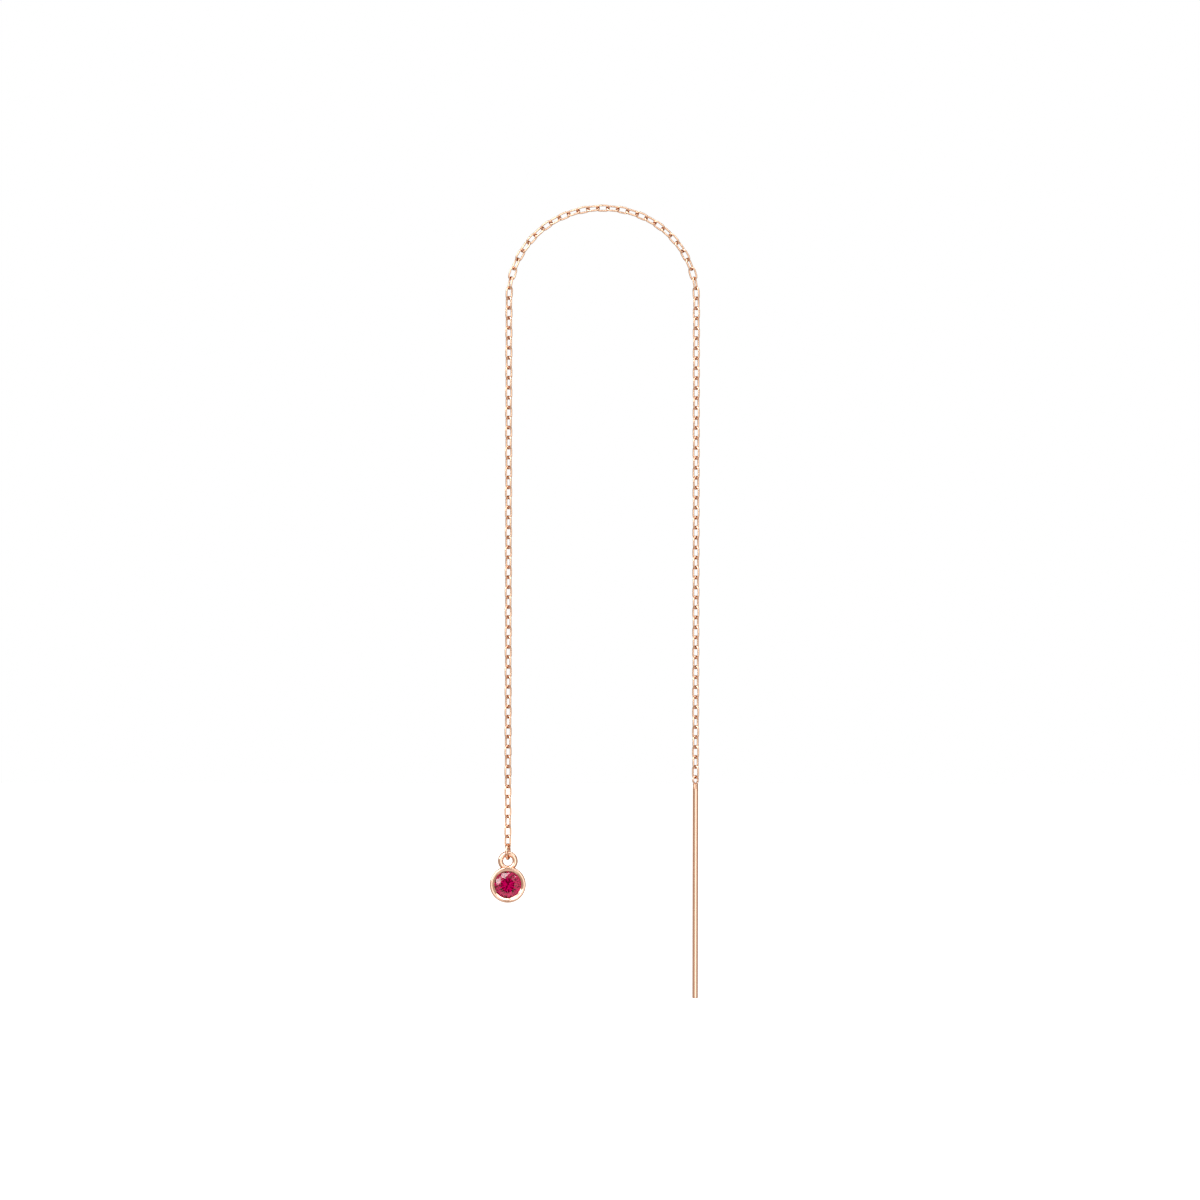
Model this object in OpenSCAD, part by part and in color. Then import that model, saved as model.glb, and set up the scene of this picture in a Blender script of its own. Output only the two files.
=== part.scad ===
// Threader earring: a fine cable chain hung over the ear, with a stone in a
// bezel drop at its front end and a straight bar at its back end.
// Origin at the middle of the crown link, where the chain runs through the
// piercing. +Z is up, -Y is the front, and the front strand hangs at -X.

/* [Chain] */
// Distance from one link to the next, taken along the chain
link_pitch = 1.057; // [0.9:0.001:1.4]
// Diameter of the round wire in a link
link_wire = 0.2; // [0.14:0.01:0.28]
// Gap left between the bows of two linked links
link_play = 0.12; // [0.1:0.01:0.2]
// Room left inside a link on each side of the wire that runs through it
link_side_play = 0.135; // [0.12:0.005:0.2]
// Turn of every second link about the chain, from facing the front
roll_even = 35; // [30:1:45]
// Turn of the links between them
roll_odd = -46; // [-50:1:-40]
// Turn of the last front link, which the jump ring holds
roll_last = -40; // [-50:1:-35]
// Straight links below the arch on the front strand
front_links = 55; // [20:1:70]
// Straight links below the arch on the back strand
back_links = 48; // [20:1:60]
// Links in the arch over the ear
arch_links = 29; // [25:2:41]
// How far the arch departs from a half circle, where 1 is a half circle
arch_bend = 1.05; // [1:0.01:1.1]

/* [Jump ring] */
// Outer diameter of the ring that joins the drop to the chain
ring_d = 1.8; // [1.6:0.01:2.4]
// Diameter of its wire
ring_wire = 0.3; // [0.2:0.01:0.32]
// Turn of its plane from facing the front
ring_turn = 78; // [65:1:84]
// Gap between the ring and what it holds
ring_play = 0.1; // [0.08:0.01:0.2]

/* [Stone] */
// Diameter of the stone at its girdle
stone_d = 3; // [2.4:0.05:4.5]
// Diameter of the table as a share of the stone's
table_share = 0.52; // [0.5:0.01:0.65]
// Length of the star facets as a share of the crown's width
star_share = 0.38; // [0.3:0.01:0.5]
// Slope of the crown's main facets in degrees
crown_angle = 32; // [28:1:36]
// Slope of the pavilion's main facets in degrees
pavilion_angle = 40; // [38:1:43]
// Height of the girdle
girdle_h = 0.1; // [0.06:0.01:0.16]
// Radius where the pavilion's lower halves end, as a share of the stone's
lower_share = 0.2; // [0.15:0.01:0.3]

/* [Bezel] */
// Thickness of the bezel's wall beside the stone
bezel_wall = 0.38; // [0.25:0.01:0.6]
// Gap between the stone and the metal round it
stone_gap = 0.02; // [0.02:0.01:0.04]
// Width of the rim that is turned in over the stone
rim_overlap = 0.09; // [0.06:0.01:0.14]
// Width of the rim's flat front edge
rim_land = 0.08; // [0.04:0.01:0.1]
// Radius of the rounding outside the rim
rim_round = 0.16; // [0.08:0.01:0.18]
// Distance that the rim's front edge lies behind the table
rim_back = 0.15; // [0.1:0.01:0.18]
// Distance from the loop's middle plane forward to the rim's front edge
rim_reach = 1; // [0.8:0.01:1.2]
// Depth of metal behind the stone's point
back_room = 0.35; // [0.1:0.05:0.8]
// Distance behind the loop's wire at which the wall begins to draw in
band_drop = 0.05; // [0.03:0.01:0.1]
// Distance that the wall draws in towards the back
back_taper = 0.5; // [0.3:0.05:0.6]
// Diameter of the light hole in the back
light_hole_d = 1.7; // [0.8:0.05:1.8]
// Outer diameter of the loop soldered on top of the bezel
loop_d = 2.1; // [1.8:0.02:2.8]
// Diameter of the loop's wire
loop_wire = 0.56; // [0.36:0.01:0.6]
// Length of the loop that is sunk into the bezel's wall
loop_sink = 0.45; // [0.3:0.01:0.5]

/* [Bar] */
// Diameter of the bar that goes through the ear
bar_d = 0.6; // [0.5:0.01:0.9]
// Length of the bar at its full diameter
bar_len = 22.2; // [12:0.05:40]
// Chamfer round the bar's free end
bar_chamfer = 0.06; // [0.02:0.01:0.12]
// Outer diameter of the eye on the bar's top
eye_d = 1; // [0.85:0.01:1.4]
// Diameter of the eye's wire
eye_wire = 0.2; // [0.14:0.01:0.24]
// Turn of the eye's plane from facing the front
eye_turn = 50; // [38:1:60]
// Gap between the eye and the last link
eye_play = 0.05; // [0.03:0.01:0.08]
// Height of the solder between the bar and the eye
solder_h = 0.55; // [0.2:0.05:0.7]
// Distance that the solder draws in from the bar's side at its top
solder_step = 0.03; // [0.02:0.01:0.14]

/* [Hidden] */
$fn = 48;
gold = [0.87, 0.62, 0.48];
ruby_red = [0.72, 0.02, 0.2];
cut_past = 0.1;

// Extra turns of the last links of the arch, just above the strands
foot_turns = [-10, -12, -20];

// Outer size of a link: its legs are straight and its bows are half rings
link_len = link_pitch + link_play + 2 * link_wire;
link_w = 3 * link_wire + 2 * link_side_play;
bow_r = (link_w - link_wire) / 2;
leg_len = link_len - link_w;

// The chain's route starts at the front end. A heading is the angle that the
// chain dips below +X: it goes straight up, level at the crown and then down.
chain_links = front_links + arch_links + back_links;
half_arch = arch_links / 2;
crown_link = front_links + floor(half_arch);

function arch_heading(share) = 90 * sign(share) * pow(abs(share), arch_bend);

function heading(i) =
    arch_heading(max(-1, min(1, (i - crown_link) / half_arch)));

function step(i) = link_pitch * [cos(heading(i)), -sin(heading(i))];

route = [
    for (i = 0, p = [0, 0]; i <= chain_links; p = p + step(i), i = i + 1)
        p
];
crown = (route[crown_link] + route[crown_link + 1]) / 2;
knots = [for (p = route) p - crown];

function foot_turn(i) =
    let (past = abs(i - crown_link) - floor(half_arch) + len(foot_turns))
    past >= 0 && past < len(foot_turns) ? foot_turns[past] : 0;

function roll(i) =
    i == 0 ? roll_last
    : ((i - crown_link) % 2 == 0 ? roll_even : roll_odd) + foot_turn(i);

// Centres of the wire in the two bows at the chain's free ends
bow_drop = (link_wire + link_play) / 2;
front_bow = knots[0] - [0, bow_drop];
back_bow = knots[chain_links] - [0, bow_drop];

// The jump ring hangs on the front bow, and the loop on the ring's own bow
ring_r = (ring_d - ring_wire) / 2;
ring_z = front_bow[1] + link_wire / 2 + ring_play + ring_wire / 2 - ring_r;
ring_bow_z = ring_z - ring_r;
loop_r = (loop_d - loop_wire) / 2;
loop_z = ring_bow_z + ring_wire / 2 + ring_play + loop_wire / 2 - loop_r;

// The stone's heights are taken forward from the front of its girdle
stone_r = stone_d / 2;
table_r = stone_r * table_share;
crown_h = (stone_r - table_r) * tan(crown_angle);
culet_h = girdle_h + stone_r * tan(pavilion_angle);
facets = 8;
half_facet = 180 / facets;
star_r = table_r + (stone_r - table_r) * star_share;
star_h = (stone_r - star_r * cos(half_facet)) * tan(crown_angle);
lower_r = stone_r * lower_share;
lower_h = girdle_h + (stone_r - lower_r * cos(half_facet)) * tan(pavilion_angle);

// The bezel's heights are taken forward from the loop's middle plane
bezel_r = stone_r + stone_gap + bezel_wall;
bezel_z = loop_z - loop_d / 2 + loop_sink - bezel_r;
girdle_y = rim_reach + rim_back - crown_h;
seat_r = stone_r + stone_gap;
opening_r = stone_r - rim_overlap;
lip_slope = star_h / (stone_r - star_r);
lip_h = girdle_y + stone_gap + rim_overlap * lip_slope;
land_r = bezel_r - rim_round - rim_land;
seat_back = girdle_y - girdle_h - stone_gap;
hole_r = light_hole_d / 2;
hole_h = seat_back - (seat_r - hole_r) * tan(pavilion_angle);
bezel_back = girdle_y - culet_h - back_room;
band_back = -loop_wire / 2 - band_drop;

// The eye holds the back bow, and the bar is soldered under it
eye_r = (eye_d - eye_wire) / 2;
eye_z = back_bow[1] + link_wire / 2 + eye_play + eye_wire / 2 - eye_r;
bar_top = eye_z - eye_r - solder_h;

// A round wire bent to a closed ring that faces the front
module wire_ring(r, wire) {
    rotate([90, 0, 0])
        rotate_extrude()
            translate([r, 0]) circle(d = wire);
}

// Half of a ring of wire, over the link's upper end, or its lower end where turned
module link_bow(turned) {
    mirror([0, 0, turned])
        translate([0, 0, leg_len / 2])
            rotate([90, 0, 0])
                rotate_extrude(angle = 180)
                    translate([bow_r, 0]) circle(d = link_wire);
}

module link_leg(side) {
    translate([side * bow_r, 0, 0])
        cylinder(h = leg_len, d = link_wire, center = true);
}

// One oval link, standing along Z and facing the front
module link() {
    link_leg(-1);
    link_leg(1);
    link_bow(0);
    link_bow(1);
}

module chain() {
    color(gold)
        for (i = [0:chain_links - 1]) {
            middle = (knots[i] + knots[i + 1]) / 2;
            translate([middle[0], 0, middle[1]])
                rotate([0, 90 + heading(i), 0])
                    rotate([0, 0, roll(i)])
                        link();
        }
}

module jump_ring() {
    color(gold)
        translate([front_bow[0], 0, ring_z])
            rotate([0, 0, ring_turn])
                wire_ring(ring_r, ring_wire);
}

// The cup with its rounded rim, before the stone's seat is cut
module cup_outline() {
    polygon([
        [0, bezel_back],
        [bezel_r - back_taper, bezel_back],
        [bezel_r, band_back],
        [bezel_r, rim_reach - rim_round],
        [0, rim_reach - rim_round]
    ]);
    translate([0, rim_reach - rim_round]) square([bezel_r - rim_round, rim_round]);
    translate([bezel_r - rim_round, rim_reach - rim_round]) circle(r = rim_round);
}

// The hollow from the rim's bevel down past the stone and out at the back
module seat_outline() {
    polygon([
        [0, rim_reach + cut_past],
        [land_r, rim_reach + cut_past],
        [land_r, rim_reach],
        [opening_r, lip_h + stone_gap],
        [opening_r, lip_h],
        [seat_r, girdle_y + stone_gap],
        [seat_r, seat_back],
        [hole_r, hole_h],
        [hole_r, bezel_back - cut_past],
        [0, bezel_back - cut_past]
    ]);
}

module bezel() {
    color(gold)
        translate([front_bow[0], 0, 0]) {
            translate([0, 0, bezel_z])
                rotate([90, 0, 0])
                    rotate_extrude()
                        difference() {
                            cup_outline();
                            seat_outline();
                        }
            translate([0, 0, loop_z]) wire_ring(loop_r, loop_wire);
        }
}

function ring_points(r, h, n, first) =
    [for (i = [0:n - 1]) [r * cos(first + i * 360 / n), r * sin(first + i * 360 / n), h]];

// Round brilliant. Point i of the table stands over point 2 * i of the girdle,
// and the star and lower points stand half a facet further round.
module brilliant() {
    n = facets;
    star = n;
    top = 2 * n;
    under = top + 2 * n;
    lower = under + 2 * n;
    culet = lower + n;
    points = concat(
        ring_points(table_r, crown_h, n, 0),
        ring_points(star_r, star_h, n, half_facet),
        ring_points(stone_r, 0, 2 * n, 0),
        ring_points(stone_r, -girdle_h, 2 * n, 0),
        ring_points(lower_r, -lower_h, n, half_facet),
        [[0, 0, -culet_h]]
    );
    table_face = [[for (i = [n - 1:-1:0]) i]];
    stars = [for (i = [0:n - 1]) [i, (i + 1) % n, star + i]];
    kites = [for (i = [0:n - 1]) [i, star + i, top + 2 * i, star + (i + n - 1) % n]];
    uppers = [
        for (i = [0:n - 1])
            for (j = [0, 1])
                [star + i, top + (2 * i + 1 + j) % (2 * n), top + 2 * i + j]
    ];
    girdle = [
        for (i = [0:2 * n - 1])
            let (next = (i + 1) % (2 * n))
            [top + i, top + next, under + next, under + i]
    ];
    lowers = [
        for (i = [0:n - 1])
            for (j = [0, 1])
                [lower + i, under + 2 * i + j, under + (2 * i + 1 + j) % (2 * n)]
    ];
    mains = [for (i = [0:n - 1]) [culet, lower + (i + n - 1) % n, under + 2 * i, lower + i]];
    polyhedron(points, concat(table_face, stars, kites, uppers, girdle, lowers, mains));
}

module ruby() {
    color(ruby_red)
        translate([front_bow[0], -girdle_y, bezel_z])
            rotate([90, 0, 0])
                rotate([0, 0, half_facet])
                    brilliant();
}

module bar() {
    color(gold)
        translate([back_bow[0], 0, 0]) {
            translate([0, 0, bar_top - bar_len + bar_chamfer])
                cylinder(h = bar_len - bar_chamfer, d = bar_d);
            translate([0, 0, bar_top - bar_len])
                cylinder(h = bar_chamfer, d1 = bar_d - 2 * bar_chamfer, d2 = bar_d);
            translate([0, 0, bar_top])
                cylinder(h = solder_h, d1 = bar_d, d2 = bar_d - 2 * solder_step);
            translate([0, 0, eye_z])
                rotate([0, 0, eye_turn])
                    wire_ring(eye_r, eye_wire);
        }
}

chain();
jump_ring();
bezel();
ruby();
bar();
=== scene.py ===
import logging
import math
from abc import ABC, abstractmethod
from collections.abc import Iterable, Sequence
from dataclasses import dataclass
from enum import Enum
from typing import Any, ClassVar

import bmesh
import bpy
from bmesh.types import BMEdge, BMesh, BMFace, BMVert
from bpy.types import Material, Mesh, Node, NodeSocket, NodeTree, Object
from mathutils import Matrix, Vector
from mathutils.geometry import normal

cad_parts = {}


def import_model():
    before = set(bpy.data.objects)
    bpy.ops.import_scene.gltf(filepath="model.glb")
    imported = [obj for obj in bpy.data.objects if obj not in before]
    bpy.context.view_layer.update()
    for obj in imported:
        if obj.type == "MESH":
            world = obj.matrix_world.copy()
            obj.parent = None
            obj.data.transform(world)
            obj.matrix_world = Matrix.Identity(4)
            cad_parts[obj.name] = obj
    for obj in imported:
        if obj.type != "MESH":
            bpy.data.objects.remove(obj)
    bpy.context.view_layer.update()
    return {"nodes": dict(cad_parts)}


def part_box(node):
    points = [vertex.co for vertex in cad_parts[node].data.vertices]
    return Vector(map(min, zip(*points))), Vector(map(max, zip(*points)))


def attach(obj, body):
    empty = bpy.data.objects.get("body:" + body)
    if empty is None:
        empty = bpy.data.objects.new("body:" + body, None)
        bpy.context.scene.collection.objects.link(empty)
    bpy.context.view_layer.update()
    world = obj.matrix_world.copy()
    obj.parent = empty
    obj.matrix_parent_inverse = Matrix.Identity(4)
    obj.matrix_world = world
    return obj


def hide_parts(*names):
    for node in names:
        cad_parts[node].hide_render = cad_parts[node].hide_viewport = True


frame: dict[str, Any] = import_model()

# A threader earring: its chain, jump ring, bezel, ruby and bar, dressed round the packed
# frame. Shapes are worked out in millimetres and turned to metres when they are finished.
LOG = logging.getLogger("threader_earring")
MM = 0.001
UP = Vector((0, 0, 1))
FRONT = Vector((0, -1, 0))

# The widest seam that is merged, and how near a point counts as lying on an edge or a cut,
# both in millimetres.
SEAM = 1e-5
NEAR = 1e-4

# Watts for each square metre of a softbox at level 1, which then shows 4 / pi times as
# bright as plain white.
LEVEL_WATTS = 4.0


class Body(Enum):
    """The bodies of the frame that pieces ride on."""

    CHAIN = "chain"
    JUMP_RING = "jump_ring"
    DROP = "drop"
    BAR = "bar"


class Slot(Enum):
    """The record's material slots."""
    # """The material slots."""

    ROSE_GOLD = "rose_gold"
    RUBY = "ruby"


def linear(code: str) -> tuple[float, float, float, float]:
    """Turns an sRGB colour to the linear values that a shader socket takes.

    Args:
        code: Six hex digits.

    Returns:
        Red, green and blue in linear light, and an alpha of 1.
    """
    shares = [int(code[i : i + 2], 16) / 255 for i in (0, 2, 4)]
    red, green, blue = (s / 12.92 if s <= 0.04045 else ((s + 0.055) / 1.055) ** 2.4 for s in shares)
    return red, green, blue, 1.0


def add_node(
    tree: NodeTree,
    kind: str,
    settings: dict[str, Any] | None = None,
    inputs: dict[str | int, Any] | None = None,
) -> Node:
    """Adds one node with its settings and its links.

    Args:
        tree: The tree that gets the node.
        kind: Blender's name for the kind of node.
        settings: The node's own properties, by name.
        inputs: What its sockets take, by name or number: a value or another node's output.

    Returns:
        The new node.
    """
    made = tree.nodes.new(kind)
    for name, value in (settings or {}).items():
        setattr(made, name, value)
    for socket, value in (inputs or {}).items():
        if isinstance(value, NodeSocket):
            tree.links.new(value, made.inputs[socket])
        else:
            made.inputs[socket].default_value = value
    return made


def empty_material(name: str) -> Material:
    """Makes a material that has no nodes yet.

    Args:
        name: Its name.

    Returns:
        The material.
    """
    material = bpy.data.materials.new(name)
    material.use_nodes = True
    material.node_tree.nodes.clear()
    return material


@dataclass(frozen=True)
class RoseGold:
    """Polished 14 carat rose gold, a gold alloy that copper turns pink.

    The copper gives it a peach colour. A painted shade of deep orange darkens it in recesses
    and where parts meet, in place of shade and of the metal mirroring itself there. The polish
    leaves soft ripples that make each highlight a little uneven. The hairlines of the last
    buffing are about 0.01 mm apart, too fine to show, so they are drawn coarser.
    """

    name: str
    colour: str = "FAD7C1"
    edge_tint: str = "F3D3BD"
    # Painted shade: the deep orange that the colour is mixed towards in recesses, how far it reaches and
    # how shut a spot must be.
    painted_shade_colour: str = "CC7420"
    painted_shade_mm: float = 0.25
    painted_shade_shares: tuple[float, float] = (0.5, 0.9)
    painted_shade_samples: int = 12
    smoothest: float = 0.07
    roughest: float = 0.16
    ripple_mm: float = 0.7
    ripple_depth_mm: float = 0.004
    hairline_mm: tuple[float, float, float] = (0.12, 0.12, 0.12)
    hairline_depth_mm: float = 0.0004
    hairline_span: tuple[float, float] = (0.3, 0.7)

    def material(self) -> Material:
        """Builds the finish as a material.

        Returns:
            The material.
        """
        material = empty_material(self.name)
        tree = material.node_tree
        place = add_node(tree, "ShaderNodeTexCoord").outputs["Object"]
        ripple = add_node(
            tree,
            "ShaderNodeTexNoise",
            inputs={"Vector": place, "Scale": 1 / (self.ripple_mm * MM), "Detail": 2.0, "Roughness": 0.4},
        ).outputs["Fac"]
        along = add_node(
            tree,
            "ShaderNodeMapping",
            inputs={"Vector": place, "Scale": tuple(1 / (size * MM) for size in self.hairline_mm)},
        ).outputs["Vector"]
        hairlines = add_node(
            tree, "ShaderNodeTexNoise", inputs={"Vector": along, "Scale": 1.0, "Detail": 3.0}
        ).outputs["Fac"]
        bumps = add_node(
            tree,
            "ShaderNodeBump",
            inputs={"Height": ripple, "Distance": self.ripple_depth_mm * MM, "Strength": 1.0},
        ).outputs["Normal"]
        bumps = add_node(
            tree,
            "ShaderNodeBump",
            inputs={
                "Height": hairlines,
                "Distance": self.hairline_depth_mm * MM,
                "Strength": 1.0,
                "Normal": bumps,
            },
        ).outputs["Normal"]
        # Painted shade: an ambient occlusion mask mixes the colour towards deep orange in recesses, at link
        # crossings and where parts meet, in place of shade and the metal's reflections of itself.
        open_share = add_node(
            tree,
            "ShaderNodeAmbientOcclusion",
            settings={"samples": self.painted_shade_samples},
            inputs={"Distance": self.painted_shade_mm * MM},
        ).outputs["AO"]
        shut, clear = self.painted_shade_shares
        clear_of_painted_shade = add_node(
            tree, "ShaderNodeMapRange", inputs={"Value": open_share, "From Min": shut, "From Max": clear}
        ).outputs["Result"]
        colour = add_node(
            tree,
            "ShaderNodeMix",
            settings={"data_type": "RGBA"},
            inputs={"Factor": clear_of_painted_shade, "A": linear(self.painted_shade_colour), "B": linear(self.colour)},
        )
        faint, strong = self.hairline_span
        roughness = add_node(
            tree,
            "ShaderNodeMapRange",
            inputs={
                "Value": hairlines,
                "From Min": faint,
                "From Max": strong,
                "To Min": self.smoothest,
                "To Max": self.roughest,
            },
        ).outputs["Result"]
        surface = add_node(
            tree,
            "ShaderNodeBsdfPrincipled",
            inputs={
                "Base Color": colour.outputs["Result"],
                "Metallic": 1.0,
                "Specular Tint": linear(self.edge_tint),
                "Roughness": roughness,
                "Normal": bumps,
            },
        ).outputs["BSDF"]
        add_node(tree, "ShaderNodeOutputMaterial", inputs={"Surface": surface})
        return material


@dataclass(frozen=True)
class Ruby:
    """Cut ruby: corundum that chromium colours crimson.

    Its high index gives mirror-bright facets, and its colour deepens with the light's way
    through the stone.
    """

    name: str
    tint: str = "F0A0C8"
    depth_colour: str = "EE10D4"
    per_mm: float = 1.8
    roughness: float = 0.0
    index: float = 1.77

    def material(self) -> Material:
        """Builds the finish as a material.

        Returns:
            The material.
        """
        material = empty_material(self.name)
        tree = material.node_tree
        surface = add_node(
            tree,
            "ShaderNodeBsdfPrincipled",
            inputs={
                "Base Color": linear(self.tint),
                "Roughness": self.roughness,
                "IOR": self.index,
                "Transmission Weight": 1.0,
            },
        ).outputs["BSDF"]
        depth = add_node(
            tree,
            "ShaderNodeVolumeAbsorption",
            inputs={"Color": linear(self.depth_colour), "Density": self.per_mm / MM},
        ).outputs["Volume"]
        add_node(tree, "ShaderNodeOutputMaterial", inputs={"Surface": surface, "Volume": depth})
        return material


def ring_section(mesh: BMesh, wire: float, sides: int, at: Vector) -> list[Any]:
    """Adds the outline of a round wire's section, lying flat.

    Args:
        mesh: The mesh that gets it.
        wire: The wire's diameter.
        sides: The number of its sides.
        at: Its centre.

    Returns:
        Its vertices and edges.
    """
    verts = bmesh.ops.create_circle(mesh, cap_ends=False, segments=sides, radius=wire / 2)["verts"]
    bmesh.ops.translate(mesh, verts=verts, vec=at)
    return [*verts, *{edge for vert in verts for edge in vert.link_edges}]


def close_up(mesh: BMesh) -> BMesh:
    """Merges the seams of a turned shape and points its faces outwards.

    Args:
        mesh: The shape.

    Returns:
        The same mesh.
    """
    bmesh.ops.remove_doubles(mesh, verts=mesh.verts, dist=SEAM)
    bmesh.ops.recalc_face_normals(mesh, faces=mesh.faces)
    return mesh


def wire_ring(outer: float, wire: float, sides: int, steps: int) -> BMesh:
    """Bends a round wire to a closed ring that faces the front.

    Args:
        outer: The ring's outer diameter.
        wire: The wire's diameter.
        sides: Sides round the wire.
        steps: Steps round the ring.

    Returns:
        The ring, centred on the origin.
    """
    mesh = bmesh.new()
    section = ring_section(mesh, wire, sides, Vector(((outer - wire) / 2, 0, 0)))
    bmesh.ops.spin(
        mesh, geom=section, cent=(0, 0, 0), axis=FRONT, angle=2 * math.pi, steps=steps, use_merge=True
    )
    return close_up(mesh)


def turned(outline: Sequence[tuple[float, float]], steps: int, closed: bool) -> BMesh:
    """Turns an outline about the Z axis, as on a lathe.

    Args:
        outline: Its corners, each a radius and a height.
        steps: Steps round the axis.
        closed: Whether the last corner joins the first, as in a cup with a hole.

    Returns:
        The turned shape.
    """
    mesh = bmesh.new()
    corners = [mesh.verts.new((radius, 0, height)) for radius, height in outline]
    after = corners[1:] + corners[:1] if closed else corners[1:]
    edges = [mesh.edges.new(pair) for pair in zip(corners, after)]
    bmesh.ops.spin(
        mesh,
        geom=[*corners, *edges],
        cent=(0, 0, 0),
        axis=UP,
        angle=2 * math.pi,
        steps=steps,
        use_merge=True,
    )
    return close_up(mesh)


def round_corner(mesh: BMesh, radius: float, height: float, rounding: float, segments: int) -> None:
    """Rounds the circular edge of a turned shape.

    Args:
        mesh: The turned shape.
        radius: The edge's radius.
        height: The edge's height.
        rounding: The radius of the rounding.
        segments: Segments across it.
    """

    def on_edge(edge: BMEdge) -> bool:
        """Tells whether an edge is part of the circle."""
        return all(
            abs(vert.co.xy.length - radius) < NEAR and abs(vert.co.z - height) < NEAR for vert in edge.verts
        )

    bmesh.ops.bevel(
        mesh,
        geom=[edge for edge in mesh.edges if on_edge(edge)],
        offset=rounding,
        offset_type="OFFSET",
        segments=segments,
        profile=0.5,
        affect="EDGES",
        material=-1,
    )


def to_mesh(shape: BMesh, name: str) -> Mesh:
    """Turns a finished shape to mesh data and frees it.

    Args:
        shape: The shape.
        name: The mesh's name.

    Returns:
        The mesh.
    """
    mesh = bpy.data.meshes.new(name)
    shape.to_mesh(mesh)
    shape.free()
    return mesh


def fused(shapes: Sequence[BMesh], name: str) -> BMesh:
    """Unites closed shapes to one skin, as solder does.

    Args:
        shapes: The shapes, the main one first.
        name: A name for the joint.

    Returns:
        One closed shape.
    """
    main, *others = (bpy.data.objects.new(name, to_mesh(shape, name)) for shape in shapes)
    for thing in (main, *others):
        bpy.context.scene.collection.objects.link(thing)
    for other in others:
        union = main.modifiers.new("union", "BOOLEAN")
        union.operation = "UNION"
        union.solver = "EXACT"
        union.object = other
    united = bmesh.new()
    united.from_object(main, bpy.context.evaluated_depsgraph_get())
    for thing in (main, *others):
        data = thing.data
        bpy.data.objects.remove(thing)
        bpy.data.meshes.remove(data)
    return close_up(united)


@dataclass
class Piece(ABC):
    """A sub-assembly that stands for one node of the frame.

    Its sizes are in millimetres and degrees, and edges that bend by less than
    smooth_below are shaded smooth.
    """

    name: ClassVar[str]
    node: ClassVar[str]
    body: ClassVar[Body]
    slot: ClassVar[Slot]
    smooth_below: ClassVar[float] = 40.0

    @abstractmethod
    def shape(self) -> BMesh:
        """Builds the piece in millimetres, where it hangs."""

    @abstractmethod
    def finishes(self) -> list[Material]:
        """Gives the piece's materials, in the order of its material numbers."""

    def build(self) -> Object:
        """Builds and dresses the piece and fixes it to the frame.

        Returns:
            The finished object.
        """
        shape = self.shape()
        bmesh.ops.scale(shape, verts=shape.verts, vec=(MM, MM, MM))
        mesh = to_mesh(shape, self.name)
        for material in self.finishes():
            mesh.materials.append(material)
        mesh.shade_smooth()
        mesh.set_sharp_from_angle(angle=math.radians(self.smooth_below))
        piece = bpy.data.objects.new(self.name, mesh)
        bpy.context.scene.collection.objects.link(piece)
        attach(piece, self.body.value)
        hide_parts(self.node)
        LOG.info("%s: %d faces, on %s", self.name, len(mesh.polygons), self.body.value)
        return piece

    def cad_box(self) -> tuple[Vector, Vector]:
        """Gives the node's lowest and highest corner in millimetres."""
        low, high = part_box(self.node)
        return low / MM, high / MM


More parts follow.
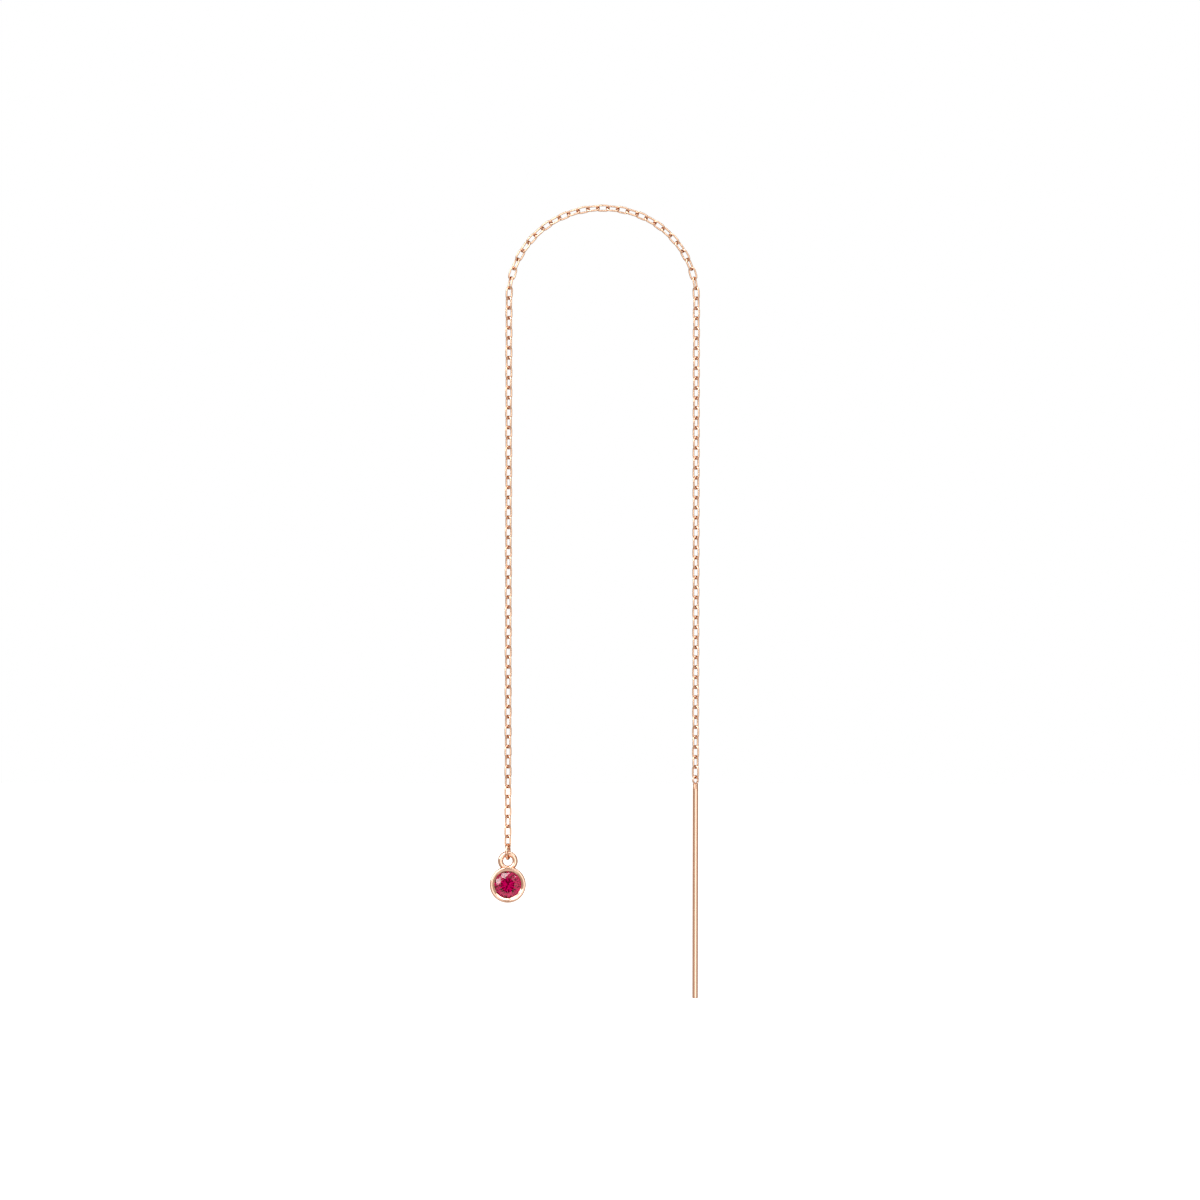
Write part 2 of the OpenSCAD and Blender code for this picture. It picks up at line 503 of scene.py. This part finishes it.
@dataclass
class CableChain(Piece):
    """The cable chain: soldered oval links, each turned about the chain from the last."""

    name = "chain_links"
    node = "chain"
    body = Body.CHAIN
    slot = Slot.ROSE_GOLD
    smooth_below = 80.0

    pitch: float = 1.057
    wire: float = 0.2
    play: float = 0.05
    side_play: float = 0.135
    roll_even: float = 35.0
    roll_odd: float = -46.0
    roll_last: float = -40.0
    front_links: int = 55
    back_links: int = 48
    arch_links: int = 29
    arch_bend: float = 1.05
    foot_turns: tuple[float, ...] = (-10.0, -12.0, -20.0)
    wire_sides: int = 8
    bow_steps: int = 5

    @property
    def crown_link(self) -> int:
        """The number of the link at the top of the arch."""
        return self.front_links + self.arch_links // 2

    def heading(self, link: int) -> float:
        """Gives the angle in degrees that a link dips below +X."""
        share = max(-1.0, min(1.0, (link - self.crown_link) / (self.arch_links / 2)))
        return 90 * math.copysign(abs(share) ** self.arch_bend, share)

    def roll(self, link: int) -> float:
        """Gives the turn of a link about the chain.

        Args:
            link: The link's number, from the front end.

        Returns:
            The turn in degrees.
        """
        if link == 0:
            return self.roll_last
        from_crown = abs(link - self.crown_link)
        roll = self.roll_odd if from_crown % 2 else self.roll_even
        past = from_crown - self.arch_links // 2 + len(self.foot_turns)
        return roll + (self.foot_turns[past] if 0 <= past < len(self.foot_turns) else 0)

    def middles(self) -> list[Vector]:
        """Walks along the chain, link by link.

        Returns:
            The middle of each link, counted from the crown link's.
        """
        knots = [Vector((0, 0, 0))]
        for link in range(self.front_links + self.arch_links + self.back_links):
            dip = math.radians(self.heading(link))
            knots.append(knots[-1] + self.pitch * Vector((math.cos(dip), 0, -math.sin(dip))))
        middles = [(a + b) / 2 for a, b in zip(knots, knots[1:])]
        return [middle - middles[self.crown_link] for middle in middles]

    def link(self) -> BMesh:
        """Bends one oval link, standing along Z and facing the front.

        Returns:
            A link of 96 faces, because the chain repeats it 132 times.
        """
        # Between a link's two legs its neighbour's wire has play on either side.
        width = 3 * self.wire + 2 * self.side_play
        leg = Vector((0, 0, self.pitch + self.play + 2 * self.wire - width))
        mesh = bmesh.new()
        start = Vector(((width - self.wire) / 2, 0, 0)) - leg / 2
        end = ring_section(mesh, self.wire, self.wire_sides, start)
        for way in (1, -1):
            rim = [item for item in end if isinstance(item, BMEdge)]
            end = bmesh.ops.extrude_edge_only(mesh, edges=rim)["geom"]
            verts = [item for item in end if isinstance(item, BMVert)]
            bmesh.ops.translate(mesh, verts=verts, vec=way * leg)
            rim = [item for item in end if not isinstance(item, BMFace)]
            end = bmesh.ops.spin(
                mesh, geom=rim, cent=way * leg / 2, axis=FRONT, angle=math.pi, steps=self.bow_steps
            )["geom_last"]
        return close_up(mesh)

    def shape(self) -> BMesh:
        """Strings all the links along the route.

        Returns:
            The chain.
        """
        one = to_mesh(self.link(), "link")
        chain = bmesh.new()
        for number, middle in enumerate(self.middles()):
            link = one.copy()
            turn = Matrix.Rotation(math.radians(90 + self.heading(number)), 4, "Y")
            roll = Matrix.Rotation(math.radians(self.roll(number)), 4, "Z")
            link.transform(Matrix.Translation(middle) @ turn @ roll)
            chain.from_mesh(link)
            bpy.data.meshes.remove(link)
        bpy.data.meshes.remove(one)
        return chain

    def finishes(self) -> list[Material]:
        """Gives the wire its tumbled polish, which spreads each highlight.

        Returns:
            The wire's material.
        """
        # The wire keeps the default painted shade, deep orange, at the link crossings.
        finish = RoseGold(
            "rose_gold_tumbled_wire",
            colour="F7D6BA",
            smoothest=0.2,
            roughest=0.3,
            ripple_mm=0.6,
            ripple_depth_mm=0.001,
            hairline_depth_mm=0.0001,
        )
        return [finish.material()]


@dataclass
class JumpRing(Piece):
    """The round ring that joins the drop to the last link."""

    name = "swing_ring"
    node = "jump_ring"
    body = Body.JUMP_RING
    slot = Slot.ROSE_GOLD

    outer: float = 1.8
    wire: float = 0.3
    turn: float = 78.0
    sides: int = 16
    steps: int = 48

    def shape(self) -> BMesh:
        """Bends the ring and turns it across the drop.

        Returns:
            The ring.
        """
        low, high = self.cad_box()
        ring = wire_ring(self.outer, self.wire, self.sides, self.steps)
        turn = Matrix.Rotation(math.radians(self.turn), 4, "Z")
        bmesh.ops.transform(ring, verts=ring.verts, matrix=Matrix.Translation((low + high) / 2) @ turn)
        return ring

    def finishes(self) -> list[Material]:
        """Gives the ring a bright polish, sharper than the chain's."""
        return [RoseGold("rose_gold_polished_ring", ripple_mm=0.5).material()]


@dataclass
class Bezel(Piece):
    """The bezel cup that grips the stone, with the loop soldered on its top."""

    name = "bezel_cup"
    node = "bezel"
    body = Body.DROP
    slot = Slot.ROSE_GOLD
    smooth_below = 30.0

    stone_gap: float = 0.02
    rim_overlap: float = 0.09
    rim_land: float = 0.08
    rim_round: float = 0.16
    crest_round: float = 0.05
    bevel_angle: float = 34.5
    bevel_start: float = 0.06
    back_taper: float = 0.5
    light_hole: float = 1.7
    band_round: float = 0.2
    back_round: float = 0.12
    hole_round: float = 0.04
    loop_outer: float = 2.1
    loop_wire: float = 0.56
    band_drop: float = 0.05
    bead: tuple[float, float, float] = (0.88, 0.24, 0.15)
    bead_sink: float = 0.77
    pavilion_angle: float = 40.0
    steps: int = 96
    loop_sides: int = 32
    loop_steps: int = 80

    def cup(self, stone: "Brilliant") -> BMesh:
        """Turns the cup, with its rim burnished over the stone.

        Args:
            stone: The stone that it holds.

        Returns:
            The cup, with its axis along Z and its rim upwards.
        """
        low, high = self.cad_box()
        front, back = -low.y, -high.y
        outer = (high.x - low.x) / 2
        seat = stone.radius + self.stone_gap
        mouth = stone.radius - self.rim_overlap
        girdle = stone.girdle_front()
        lip = girdle + self.stone_gap + self.rim_overlap * stone.upper_slope()
        land = outer - self.rim_round - self.rim_land
        seat_back = girdle - stone.girdle - self.stone_gap
        hole = self.light_hole / 2
        hole_front = seat_back - (seat - hole) * math.tan(math.radians(self.pavilion_angle))
        band_back = -self.loop_wire / 2 - self.band_drop
        slope = math.tan(math.radians(self.bevel_angle))
        flat = land - self.bevel_start
        cup = turned(
            [
                (hole, back),
                (outer - self.back_taper, back),
                (outer, band_back),
                (outer, front),
                (land, front),
                (flat, front - self.bevel_start * slope),
                (mouth, front - (land - mouth) * slope),
                (mouth, lip),
                (seat, girdle + self.stone_gap),
                (seat, seat_back),
                (hole, hole_front),
            ],
            self.steps,
            closed=True,
        )
        round_corner(cup, outer, front, self.rim_round, segments=8)
        round_corner(cup, land, front, self.crest_round, segments=4)
        round_corner(cup, outer, band_back, self.band_round, segments=5)
        round_corner(cup, outer - self.back_taper, back, self.back_round, segments=5)
        round_corner(cup, hole, back, self.hole_round, segments=3)
        return cup

    def shape(self) -> BMesh:
        """Solders the loop to the cup with a bead that fills the corner on either side.

        Returns:
            The soldered bezel.
        """
        low, high = self.cad_box()
        middle = Vector(((low.x + high.x) / 2, 0, 0))
        stone = Brilliant()
        cup = self.cup(stone)
        cup_middle = middle + UP * (low.z + (high.x - low.x) / 2)
        face_front = Matrix.Rotation(math.radians(90), 4, "X")
        bmesh.ops.transform(cup, verts=cup.verts, matrix=Matrix.Translation(cup_middle) @ face_front)
        loop = wire_ring(self.loop_outer, self.loop_wire, self.loop_sides, self.loop_steps)
        loop_middle = middle + UP * (high.z - self.loop_outer / 2)
        bmesh.ops.translate(loop, verts=loop.verts, vec=loop_middle)
        bead = bmesh.new()
        bmesh.ops.create_uvsphere(bead, u_segments=40, v_segments=20, radius=1)
        bmesh.ops.scale(bead, verts=bead.verts, vec=self.bead)
        bead_middle = loop_middle - UP * self.loop_outer / 2 * self.bead_sink
        bmesh.ops.translate(bead, verts=bead.verts, vec=bead_middle)
        return fused([cup, loop, bead], "soldered_bezel")

    def finishes(self) -> list[Material]:
        """Gives the cup a hand polish with broad, shallow ripples.

        Returns:
            The bezel's material.
        """
        finish = RoseGold(
            "rose_gold_burnished_bezel",
            # Painted shade of deep orange darkens the hollows round the stone and the loop, within 0.3 mm.
            painted_shade_mm=0.3,
            painted_shade_shares=(0.2, 0.6),
            ripple_mm=1.1,
            ripple_depth_mm=0.006,
        )
        return [finish.material()]


@dataclass
class Brilliant(Piece):
    """The round brilliant, cut facet by facet from a sixteen-sided prism."""

    name = "ruby_brilliant"
    node = "ruby"
    body = Body.DROP
    slot = Slot.RUBY
    smooth_below = 1.0

    table_share: float = 0.52
    star_share: float = 0.38
    crown_angle: float = 32.0
    pavilion_angle: float = 40.0
    girdle: float = 0.1
    lower_share: float = 0.2
    facets: int = 8
    upright: float = 0.01

    @property
    def radius(self) -> float:
        """The stone's radius at its girdle."""
        low, high = self.cad_box()
        return (high.x - low.x) / 2

    @property
    def table_radius(self) -> float:
        """The distance from the axis to the table's corners."""
        return self.radius * self.table_share

    @property
    def half_facet(self) -> float:
        """Half the turn from one main facet to the next, in radians."""
        return math.pi / self.facets

    @property
    def crown_height(self) -> float:
        """The height of the table over the girdle's front edge."""
        return (self.radius - self.table_radius) * math.tan(math.radians(self.crown_angle))

    def girdle_front(self) -> float:
        """Gives the distance from the drop's middle plane to the girdle's front edge."""
        return -self.cad_box()[0].y - self.crown_height

    def star_point(self) -> tuple[float, float]:
        """Gives the points where the star facets end.

        Returns:
            Their radius, and their height over the girdle's front edge.
        """
        radius = self.table_radius + (self.radius - self.table_radius) * self.star_share
        rise = math.tan(math.radians(self.crown_angle))
        return radius, (self.radius - radius * math.cos(self.half_facet)) * rise

    def upper_slope(self) -> float:
        """Gives the slope of the crown from the girdle up to a star point."""
        radius, height = self.star_point()
        return height / (self.radius - radius)

    def ring(self, radius: float, height: float, places: Iterable[int]) -> list[Vector]:
        """Gives points round the axis.

        Args:
            radius: Their distance from the axis.
            height: Their height over the girdle's front edge.
            places: Their places, counted in half facets.

        Returns:
            The points.
        """
        turns = [place * self.half_facet for place in places]
        return [Vector((radius * math.cos(t), radius * math.sin(t), height)) for t in turns]

    def planes(self) -> list[list[Vector]]:
        """Lays out the facets.

        Returns:
            Three points of each facet, in the order in which they are cut.
        """
        drop = math.tan(math.radians(self.pavilion_angle))
        lower = self.radius * self.lower_share
        lower_z = -self.girdle - (self.radius - lower * math.cos(self.half_facet)) * drop
        culet = Vector((0, 0, -self.girdle - self.radius * drop))
        star, star_z = self.star_point()
        # Any three of its corners give the table.
        cuts = [self.ring(self.table_radius, self.crown_height, (0, 4, 8))]
        for main in range(0, 2 * self.facets, 2):
            corner, next_corner = self.ring(self.table_radius, self.crown_height, (main, main + 2))
            left, right = self.ring(star, star_z, (main - 1, main + 1))
            below, above = self.ring(lower, lower_z, (main - 1, main + 1))
            cuts.append([corner, left, right])
            cuts.append([culet, below, above])
            cuts.append([corner, next_corner, right])
            for side in (0, 1):
                places = (main + side, main + side + 1)
                cuts.append([right, *self.ring(self.radius, 0, places)])
                cuts.append([above, *self.ring(self.radius, -self.girdle, places)])
        return cuts

    def shape(self) -> BMesh:
        """Cuts the facets and turns the table to the front.

        Returns:
            The stone.
        """
        stone = bmesh.new()
        height = 4 * self.radius
        bmesh.ops.create_cone(
            stone,
            cap_ends=True,
            segments=2 * self.facets,
            radius1=self.radius,
            radius2=self.radius,
            depth=height,
        )
        heart = Vector((0, 0, -self.girdle))
        for points in self.planes():
            outwards = normal(points)
            if outwards.dot(points[0] - heart) < 0:
                outwards.negate()
            cut = bmesh.ops.bisect_plane(
                stone,
                geom=[*stone.verts, *stone.edges, *stone.faces],
                dist=NEAR,
                plane_co=points[0],
                plane_no=outwards,
                clear_outer=True,
            )["geom_cut"]
            edges = [item for item in cut if isinstance(item, BMEdge) and item.is_boundary]
            bmesh.ops.edgeloop_fill(stone, edges=edges)
        close_up(stone)
        for face in stone.faces:
            on_girdle = abs(face.normal.z) < self.upright
            face.material_index = int(on_girdle)
        low, high = self.cad_box()
        middle = Vector(((low.x + high.x) / 2, -self.girdle_front(), (low.z + high.z) / 2))
        face_front = Matrix.Rotation(math.radians(90), 4, "X")
        turn = Matrix.Rotation(self.half_facet, 4, "Z")
        bmesh.ops.transform(
            stone, verts=stone.verts, matrix=Matrix.Translation(middle) @ face_front @ turn
        )
        return stone

    def finishes(self) -> list[Material]:
        """Gives the facets their polish and leaves the girdle frosted, a dull ring at the edge.

        Returns:
            The materials of the facets and of the girdle.
        """
        return [
            Ruby("ruby_polished_facets").material(),
            Ruby("ruby_frosted_girdle", roughness=0.35).material(),
        ]


@dataclass
class ThreaderBar(Piece):
    """The straight bar that is pushed through the ear, with its eye soldered on top."""

    name = "threader_bar"
    node = "bar"
    body = Body.BAR
    slot = Slot.ROSE_GOLD
    smooth_below = 35.0

    diameter: float = 0.6
    chamfer: float = 0.06
    eye_outer: float = 1.0
    eye_wire: float = 0.2
    eye_turn: float = 50.0
    solder_height: float = 0.55
    solder_step: float = 0.03
    solder_start: float = 0.01
    tip_round: float = 0.02
    shoulder_round: float = 0.1
    neck_round: float = 0.06
    steps: int = 48
    eye_sides: int = 16
    eye_steps: int = 40

    def shape(self) -> BMesh:
        """Turns the bar, bends the eye and solders them together.

        Returns:
            The soldered bar.
        """
        low, high = self.cad_box()
        radius = self.diameter / 2
        solder_top = high.z - self.eye_outer + self.eye_wire / 2
        bar_top = solder_top - self.solder_height
        bar = turned(
            [
                (0, low.z),
                (radius - self.chamfer, low.z),
                (radius, low.z + self.chamfer),
                (radius, bar_top),
                (radius - self.solder_step, solder_top),
                (0, solder_top),
            ],
            self.steps,
            closed=False,
        )
        for face in bar.faces:
            on_solder = face.calc_center_median().z > bar_top + self.solder_start
            face.material_index = int(on_solder)
        round_corner(bar, radius - self.chamfer, low.z, self.tip_round, segments=2)
        round_corner(bar, radius, bar_top, self.shoulder_round, segments=4)
        round_corner(bar, radius - self.solder_step, solder_top, self.neck_round, segments=4)
        middle = Vector(((low.x + high.x) / 2, 0, 0))
        bmesh.ops.translate(bar, verts=bar.verts, vec=middle)
        eye = wire_ring(self.eye_outer, self.eye_wire, self.eye_sides, self.eye_steps)
        turn = Matrix.Rotation(math.radians(self.eye_turn), 4, "Z")
        eye_middle = middle + UP * (high.z - self.eye_outer / 2)
        bmesh.ops.transform(eye, verts=eye.verts, matrix=Matrix.Translation(eye_middle) @ turn)
        return fused([bar, eye], "soldered_bar")

    def finishes(self) -> list[Material]:
        """Gives the bar its drawn polish, with lines along it, and the solder a duller, darker skin.

        Returns:
            The materials of the bar and of the solder.
        """
        drawn = RoseGold(
            "rose_gold_drawn_bar", roughest=0.1, ripple_mm=0.9, hairline_mm=(0.08, 0.08, 3.0)
        )
        solder = RoseGold("rose_gold_solder", colour="DDBBA4", smoothest=0.4, roughest=0.55)
        return [drawn.material(), solder.material()]


@dataclass(frozen=True)
class Softbox:
    """A flat, evenly lit softbox that faces the earring and isn't itself in the picture.

    Angles are in degrees, seen from the earring: azimuth from the lens towards +X,
    elevation above the horizon, and roll anticlockwise as the lens sees it. Sizes are in
    metres, and level counts in steps of LEVEL_WATTS.
    """

    name: str
    azimuth: float
    elevation: float
    width: float
    height: float
    level: float
    roll: float = 0.0
    distance: float = 1.2

    def hang(self, aim: Vector) -> Object:
        """Hangs the softbox so that it faces a point.

        Args:
            aim: The point.

        Returns:
            The lamp.
        """
        lamp = bpy.data.lights.new(self.name, "AREA")
        lamp.shape = "RECTANGLE"
        lamp.size, lamp.size_y = self.width, self.height
        lamp.energy = LEVEL_WATTS * self.width * self.height * self.level
        softbox = bpy.data.objects.new(self.name, lamp)
        across, rise = math.radians(self.azimuth), math.radians(self.elevation)
        way = Vector(
            (math.sin(across) * math.cos(rise), -math.cos(across) * math.cos(rise), math.sin(rise))
        )
        softbox.location = aim + way * self.distance
        facing = way.to_track_quat("Z", "Y").to_matrix()
        softbox.rotation_euler = (facing @ Matrix.Rotation(math.radians(self.roll), 3, "Z")).to_euler()
        softbox.visible_camera = False
        bpy.context.scene.collection.objects.link(softbox)
        return softbox


@dataclass(frozen=True)
class LightTent:
    """A tent of warm white cloth with a dark hole for the lens.

    It is dimmer behind the earring than in front, and a little dimmer overhead and below.
    Its fade and steep_from are cosines of the angle to the lens and to the vertical.
    """

    tint: str = "FFE7D5"
    front_level: float = 0.5
    back_level: float = 0.27
    pole_gain: float = 0.95
    fade: tuple[float, float] = (-0.85, -0.35)
    steep_from: float = 0.3
    lens_hole: float = 3.5

    def put_up(self) -> None:
        """Makes the tent the scene's world."""
        world = bpy.data.worlds.new("light_tent")
        world.use_nodes = True
        bpy.context.scene.world = world
        tree = world.node_tree
        tree.nodes.clear()
        way = add_node(tree, "ShaderNodeTexCoord").outputs["Generated"]
        facing = add_node(
            tree,
            "ShaderNodeVectorMath",
            settings={"operation": "DOT_PRODUCT"},
            inputs={0: way, 1: tuple(FRONT)},
        ).outputs["Value"]
        behind, beside = self.fade
        level = add_node(
            tree,
            "ShaderNodeMapRange",
            settings={"interpolation_type": "SMOOTHSTEP"},
            inputs={
                "Value": facing,
                "From Min": behind,
                "From Max": beside,
                "To Min": self.back_level,
                "To Max": self.front_level,
            },
        ).outputs["Result"]
        rise = add_node(
            tree,
            "ShaderNodeVectorMath",
            settings={"operation": "DOT_PRODUCT"},
            inputs={0: way, 1: tuple(UP)},
        ).outputs["Value"]
        steepness = add_node(
            tree, "ShaderNodeMath", settings={"operation": "ABSOLUTE"}, inputs={0: rise}
        ).outputs["Value"]
        gain = add_node(
            tree,
            "ShaderNodeMapRange",
            inputs={
                "Value": steepness,
                "From Min": self.steep_from,
                "To Min": 1.0,
                "To Max": self.pole_gain,
            },
        ).outputs["Result"]
        outside_hole = add_node(
            tree,
            "ShaderNodeMath",
            settings={"operation": "LESS_THAN"},
            inputs={0: facing, 1: math.cos(math.radians(self.lens_hole))},
        ).outputs["Value"]
        shaded = add_node(
            tree, "ShaderNodeMath", settings={"operation": "MULTIPLY"}, inputs={0: level, 1: gain}
        ).outputs["Value"]
        strength = add_node(
            tree, "ShaderNodeMath", settings={"operation": "MULTIPLY"}, inputs={0: shaded, 1: outside_hole}
        ).outputs["Value"]
        light = add_node(
            tree, "ShaderNodeBackground", inputs={"Color": linear(self.tint), "Strength": strength}
        ).outputs["Background"]
        add_node(tree, "ShaderNodeOutputWorld", inputs={"Surface": light})


@dataclass(frozen=True)
class WhitePaper:
    """Evenly lit paper, which shows as plain white from every side."""

    name: str = "backdrop_white_paper"
    colour: str = "FFFFFF"
    glow: float = 1.0

    def material(self) -> Material:
        """Builds the finish as a material.

        Returns:
            The material.
        """
        material = empty_material(self.name)
        tree = material.node_tree
        white = add_node(
            tree, "ShaderNodeEmission", inputs={"Color": linear(self.colour), "Strength": self.glow}
        ).outputs["Emission"]
        add_node(tree, "ShaderNodeOutputMaterial", inputs={"Surface": white})
        return material


@dataclass(frozen=True)
class MattLaminate:
    """Matt white laminate, lit so evenly that it shows no shading of its own."""

    name: str = "floor_matt_white_laminate"
    colour: str = "F4F4F4"
    roughness: float = 0.8
    glow_colour: str = "FFFFFF"
    glow: float = 1.0

    def material(self) -> Material:
        """Builds the finish as a material.

        Returns:
            The material.
        """
        material = empty_material(self.name)
        tree = material.node_tree
        matt = add_node(
            tree,
            "ShaderNodeBsdfPrincipled",
            inputs={
                "Base Color": linear(self.colour),
                "Roughness": self.roughness,
                "Emission Color": linear(self.glow_colour),
                "Emission Strength": self.glow,
            },
        ).outputs["BSDF"]
        add_node(tree, "ShaderNodeOutputMaterial", inputs={"Surface": matt})
        return material


@dataclass(frozen=True)
class Studio:
    """The room round the earring: pale floor, white backdrop, soft light and camera.

    Its lengths are in metres, but for the photo's scale.
    """

    softboxes: tuple[Softbox, ...] = (
        Softbox("key_upper_left", -43, 34, width=1.2, height=0.56, level=4.0, roll=58),
        Softbox("overhead_right", 44, 62, width=1.5, height=0.26, level=3.0, roll=-48),
        Softbox("strip_left_of_lens", -11, 0, width=0.28, height=1.1, level=1.05),
        Softbox("strip_right_of_lens", 17, 0, width=0.52, height=1.1, level=1.05),
        Softbox("strip_right", 34, 0, width=0.6, height=1.1, level=0.4),
        Softbox("table_bounce", 0, -68, width=1.8, height=0.7, level=0.25),
    )
    frame_px: float = 1200.0
    px_per_mm: float = 9.434
    crown_px: tuple[float, float] = (602.1, 208.1)
    camera_distance: float = 0.9
    floor_drop: float = 0.125
    backdrop_radius: float = 3.0
    backdrop_subdivisions: int = 4
    floor_radius: float = 2.94
    floor_segments: int = 96
    camera_roll: float = -0.11

    def view_middle(self) -> Vector:
        """Finds the middle of the photo's frame on the earring's plane.

        Returns:
            The point.
        """
        half = self.frame_px / 2
        across, down = (half - self.crown_px[0], half - self.crown_px[1])
        return Vector((across, 0, -down)) * MM / self.px_per_mm

    def set_camera(self) -> None:
        """Stands the camera level in front of the earring, as for the photo."""
        data = bpy.data.cameras.new("photo_camera")
        frame_width = self.frame_px / self.px_per_mm * MM
        data.lens = data.sensor_width * self.camera_distance / frame_width
        camera = bpy.data.objects.new("photo_camera", data)
        camera.location = self.view_middle() + FRONT * self.camera_distance
        camera.rotation_euler = (math.radians(90), math.radians(self.camera_roll), 0)
        bpy.context.scene.collection.objects.link(camera)
        bpy.context.scene.camera = camera

    def stage_piece(self, name: str, mesh: BMesh, material: Material) -> Object:
        """Adds a piece of the room that only the camera sees.

        Args:
            name: Its name.
            mesh: Its shape in metres.
            material: Its finish.

        Returns:
            The object.
        """
        data = to_mesh(mesh, name)
        data.materials.append(material)
        piece = bpy.data.objects.new(name, data)
        for rays in ("diffuse", "glossy", "transmission", "volume_scatter", "shadow"):
            setattr(piece, "visible_" + rays, False)
        bpy.context.scene.collection.objects.link(piece)
        return piece

    def set_stage(self) -> None:
        """Builds the backdrop and the pale floor under the earring."""
        dome = bmesh.new()
        bmesh.ops.create_icosphere(
            dome, subdivisions=self.backdrop_subdivisions, radius=self.backdrop_radius
        )
        self.stage_piece("backdrop", dome, WhitePaper().material())

        floor = bmesh.new()
        bmesh.ops.create_circle(
            floor, cap_ends=True, segments=self.floor_segments, radius=self.floor_radius
        )
        bmesh.ops.translate(floor, verts=floor.verts, vec=-UP * self.floor_drop)
        self.stage_piece("floor", floor, MattLaminate().material())

    def open(self) -> None:
        """Sets up the whole room."""
        self.set_camera()
        self.set_stage()
        LightTent().put_up()
        for softbox in self.softboxes:
            softbox.hang(self.view_middle())
        bpy.context.scene.view_settings.view_transform = "Standard"


def write_sizes() -> None:
    """Updates the view layer."""
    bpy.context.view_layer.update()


def main() -> None:
    """Builds the earring piece by piece in its studio."""
    logging.basicConfig(level=logging.INFO, format="%(name)s: %(message)s")
    Studio().open()
    for piece in (CableChain(), JumpRing(), Bezel(), Brilliant(), ThreaderBar()):
        piece.build()
    write_sizes()


if __name__ == "__main__":
    main()
